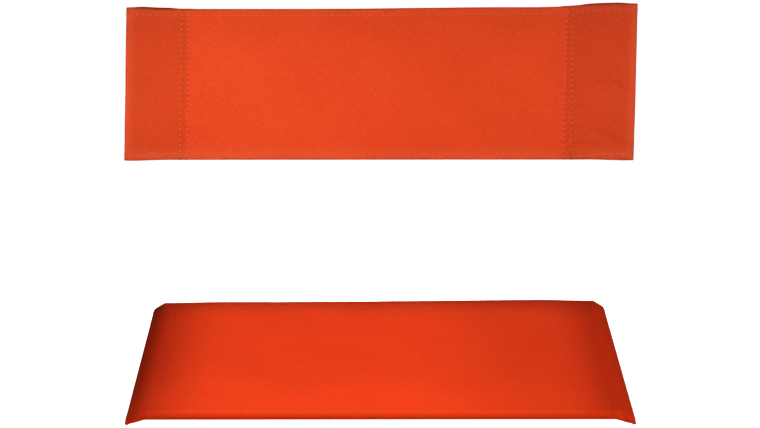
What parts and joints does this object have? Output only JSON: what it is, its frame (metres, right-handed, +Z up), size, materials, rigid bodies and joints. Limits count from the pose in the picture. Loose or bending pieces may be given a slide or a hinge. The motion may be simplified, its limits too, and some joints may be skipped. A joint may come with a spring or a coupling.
{
  "type": "director chair canvas set",
  "caption": "Replacement canvas for a folding director's chair: a hemmed seat with dowel pockets and a hemmed back with post sleeves.",
  "frame": {"origin": "midway between the two seat rails, at the height of their top faces", "axes": "+X to the right across the chair, +Y to the chair's rear, +Z up"},
  "size_m": [0.5664, 0.4112, 0.3546],
  "materials": {
    "seat_canvas": "plain-woven orange canvas, matte",
    "back_canvas": "plain-woven orange canvas, matte",
    "seat_thread": "polyester sewing thread in the seat's own orange",
    "back_thread": "polyester sewing thread, a lighter yellow-orange",
    "dowel_wood": "sanded birch"
  },
  "bodies": {
    "seat": {"seat_cloth": "seat_canvas", "seat_front_hem_needle_thread": "seat_thread", "seat_front_hem_bobbin_thread": "seat_thread", "seat_rear_hem_needle_thread": "seat_thread", "seat_rear_hem_bobbin_thread": "seat_thread", "seat_left_pocket_outer_needle_thread": "seat_thread", "seat_left_pocket_outer_bobbin_thread": "seat_thread", "seat_left_pocket_inner_needle_thread": "seat_thread", "seat_left_pocket_inner_bobbin_thread": "seat_thread", "seat_right_pocket_outer_needle_thread": "seat_thread", "seat_right_pocket_outer_bobbin_thread": "seat_thread", "seat_right_pocket_inner_needle_thread": "seat_thread", "seat_right_pocket_inner_bobbin_thread": "seat_thread"},
    "back": {"back_cloth": "back_canvas", "back_bottom_hem_needle_thread": "back_thread", "back_bottom_hem_bobbin_thread": "back_thread", "back_top_hem_needle_thread": "back_thread", "back_top_hem_bobbin_thread": "back_thread", "back_left_sleeve_outer_needle_thread": "back_thread", "back_left_sleeve_outer_bobbin_thread": "back_thread", "back_left_sleeve_inner_needle_thread": "back_thread", "back_left_sleeve_inner_bobbin_thread": "back_thread", "back_right_sleeve_outer_needle_thread": "back_thread", "back_right_sleeve_outer_bobbin_thread": "back_thread", "back_right_sleeve_inner_needle_thread": "back_thread", "back_right_sleeve_inner_bobbin_thread": "back_thread"},
    "left_dowel": {"left_dowel": "dowel_wood"},
    "right_dowel": {"right_dowel": "dowel_wood"}
  },
  "joints": [
    {"name": "back_lift", "type": "slide", "parent": "seat", "child": "back", "axis": [0, 0, 1], "range_m": [0, 0.18]},
    {"name": "left_dowel_slide", "type": "slide", "parent": "seat", "child": "left_dowel", "axis": [0, 1, 0], "range_m": [0, 0.385]},
    {"name": "right_dowel_slide", "type": "slide", "parent": "seat", "child": "right_dowel", "axis": [0, 1, 0], "range_m": [0, 0.385]}
  ]
}
